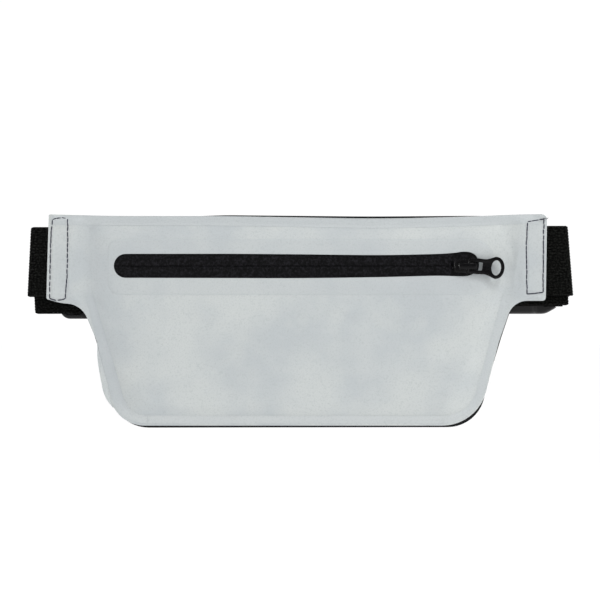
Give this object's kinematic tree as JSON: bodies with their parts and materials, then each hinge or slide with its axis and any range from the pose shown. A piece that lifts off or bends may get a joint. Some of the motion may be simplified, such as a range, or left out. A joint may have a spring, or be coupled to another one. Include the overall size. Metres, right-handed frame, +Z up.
{
  "type": "waist bag",
  "caption": "Slim reflective waist bag with a horizontal coil zip, welded seams and an elastic belt folded flat behind it, clipped with a side-release buckle.",
  "frame": {"origin": "on the rear face of the back panel, the face that rests on the wearer, at the middle of the bag", "axes": "+X to the right as seen from the front, +Y from the front towards the wearer, +Z up as worn"},
  "size_m": [0.3153, 0.0264, 0.1216],
  "materials": {
    "reflective_fabric": "fine grained retroreflective laminate, satin",
    "seam_film": "welded retroreflective film, slightly darker",
    "backing_fabric": "black woven backing, matt",
    "zip_tape": "black coated zip tape, fine grain, satin",
    "nylon_coil": "black nylon monofilament",
    "slider_metal": "charcoal lacquered zinc casting",
    "elastic_webbing": "black ribbed elastic webbing",
    "buckle_plastic": "black acetal, lightly textured",
    "sewing_thread": "dark blue polyester thread"
  },
  "bodies": {
    "bag": {"front_panel": "reflective_fabric", "back_panel": "backing_fabric", "seam_band_left": "seam_film", "seam_band_right": "seam_film", "seam_band_bottom": "seam_film", "top_edge_tape": "seam_film", "zip_bond_film": "seam_film", "zip_tape_upper": "zip_tape", "zip_tape_lower": "zip_tape", "zip_coil_upper": "nylon_coil", "zip_coil_lower": "nylon_coil", "zip_top_stop_upper": "nylon_coil", "zip_top_stop_lower": "nylon_coil", "zip_bottom_stop": "nylon_coil", "strap_long": "elastic_webbing", "strap_adjuster_loop": "elastic_webbing", "strap_short": "elastic_webbing", "strap_bar_tack": "sewing_thread", "box_stitch_left": "sewing_thread", "box_stitch_right": "sewing_thread", "buckle_female": "buckle_plastic"},
    "zip_slider": {"slider_body": "slider_metal", "slider_crown": "slider_metal", "slider_lock_pawl": "slider_metal"},
    "zip_pull": {"pull_tab": "slider_metal"},
    "male_half": {"buckle_male": "buckle_plastic"},
    "prong_upper": {"buckle_prong_upper": "buckle_plastic"},
    "prong_lower": {"buckle_prong_lower": "buckle_plastic"},
    "strap_slider": {"belt_slider": "buckle_plastic"}
  },
  "joints": [
    {"name": "zip_slider_travel", "type": "slide", "parent": "bag", "child": "zip_slider", "axis": [-1, 0, 0], "range_m": [0, 0.19], "deforming": ["zip_tape_upper", "zip_coil_upper", "zip_tape_lower", "zip_coil_lower"]},
    {"name": "pull_flip", "type": "hinge", "parent": "zip_slider", "child": "zip_pull", "pos_m": [0.098, -0.0096, 0.031], "axis": [0, 0, -1], "range_deg": [0, 168]},
    {"name": "buckle_release", "type": "slide", "parent": "bag", "child": "male_half", "axis": [-1, 0, 0], "range_m": [0, 0.028], "deforming": ["buckle_prong_upper", "buckle_prong_lower", "strap_adjuster_loop"]},
    {"name": "prong_squeeze_upper", "type": "hinge", "parent": "male_half", "child": "prong_upper", "pos_m": [0.1082, 0.0095, 0.0436], "axis": [0, 1, 0], "range_deg": [0, 8], "stiffness_Nm_per_rad": 0.02},
    {"name": "prong_squeeze_lower", "type": "hinge", "parent": "male_half", "child": "prong_lower", "pos_m": [0.1082, 0.0095, 0.0126], "axis": [0, 1, 0], "range_deg": [-8, 0], "stiffness_Nm_per_rad": 0.02},
    {"name": "belt_slider_travel", "type": "slide", "parent": "bag", "child": "strap_slider", "axis": [1, 0, 0], "range_m": [0, 0.09], "deforming": ["strap_adjuster_loop"]}
  ],
  "couplings": [
    {"joint": "prong_squeeze_lower", "follows": "prong_squeeze_upper", "ratio": -1}
  ]
}
